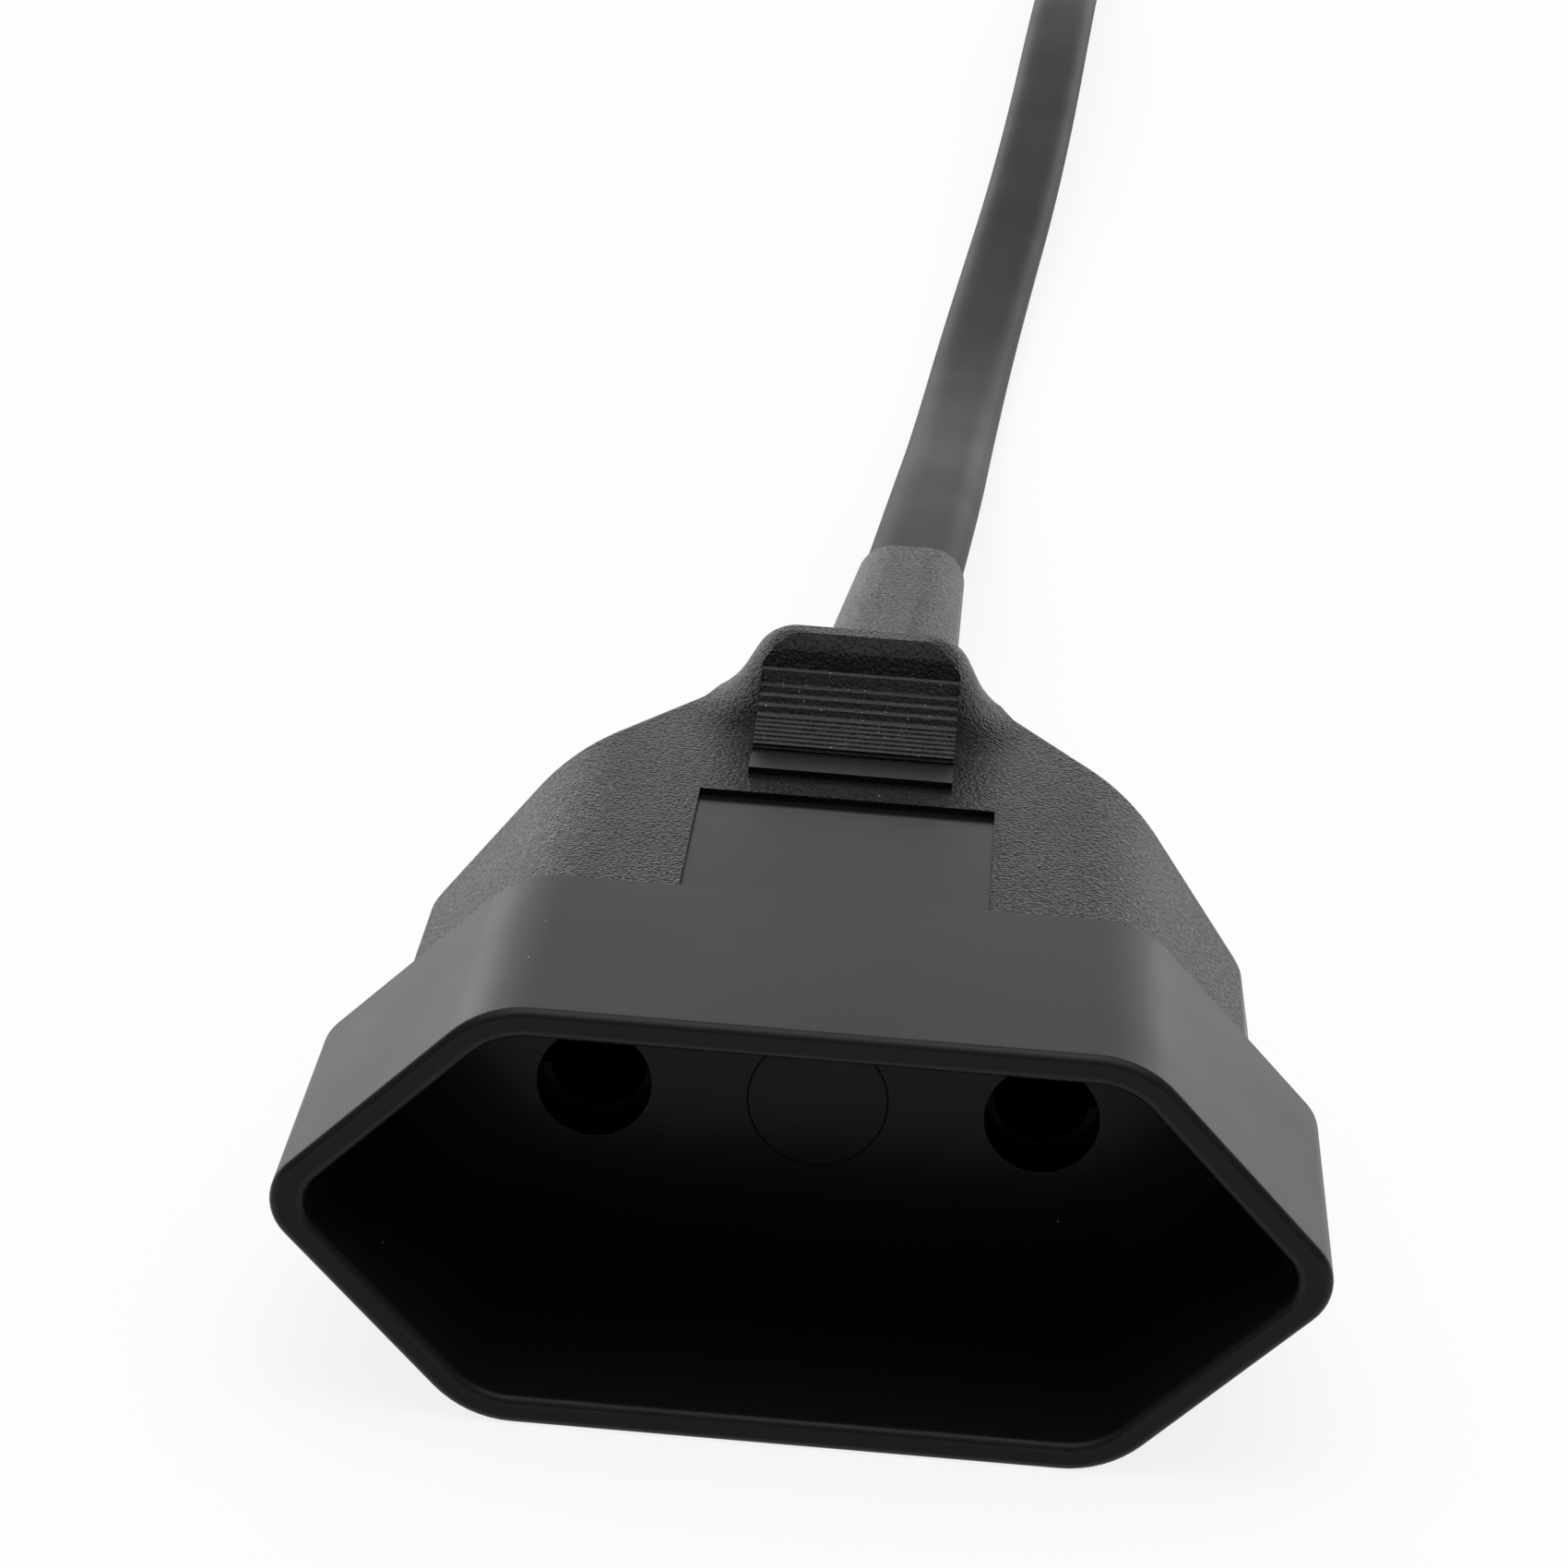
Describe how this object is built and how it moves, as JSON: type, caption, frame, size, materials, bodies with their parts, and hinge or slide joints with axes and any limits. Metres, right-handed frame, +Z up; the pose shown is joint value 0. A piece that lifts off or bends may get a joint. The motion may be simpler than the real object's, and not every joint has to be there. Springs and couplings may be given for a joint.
{
  "type": "power adapter cable",
  "caption": "Moulded line socket for a flat mains plug with round pins, on a short flat cord that ends in a shrouded appliance inlet plug.",
  "frame": {"origin": "on the table under the middle of the socket, halfway from its mouth to the end of its strain relief", "axes": "+X to the right seen from the mouth, +Y from the mouth along the socket to its cord, +Z up"},
  "size_m": [0.0456, 0.4541, 0.0204],
  "materials": {
    "black_insert": "smooth matte moulded plastic",
    "black_grip": "soft moulded vinyl with a fine spark-eroded grain",
    "black_jacket": "satin extruded vinyl",
    "brass_contact": "bright stamped strip",
    "nickel_blade": "nickel plate",
    "copper_strands": "bare twisted copper",
    "brown_core": "extruded vinyl",
    "blue_core": "extruded vinyl"
  },
  "bodies": {
    "root": {"socket_shroud": "black_insert", "contact_cover": "black_insert", "contact_left": "brass_contact", "contact_right": "brass_contact", "socket_strands_left": "copper_strands", "socket_strands_right": "copper_strands", "socket_core_left": "blue_core", "socket_core_right": "brown_core", "socket_grip": "black_grip", "plug_shroud": "black_insert", "plug_blade_live": "nickel_blade", "plug_blade_neutral": "nickel_blade", "plug_blade_earth": "nickel_blade", "plug_strands_live": "copper_strands", "plug_strands_neutral": "copper_strands", "plug_core_live": "brown_core", "plug_core_neutral": "blue_core", "plug_grip": "black_grip", "cord": "black_jacket"}
  },
  "joints": []
}
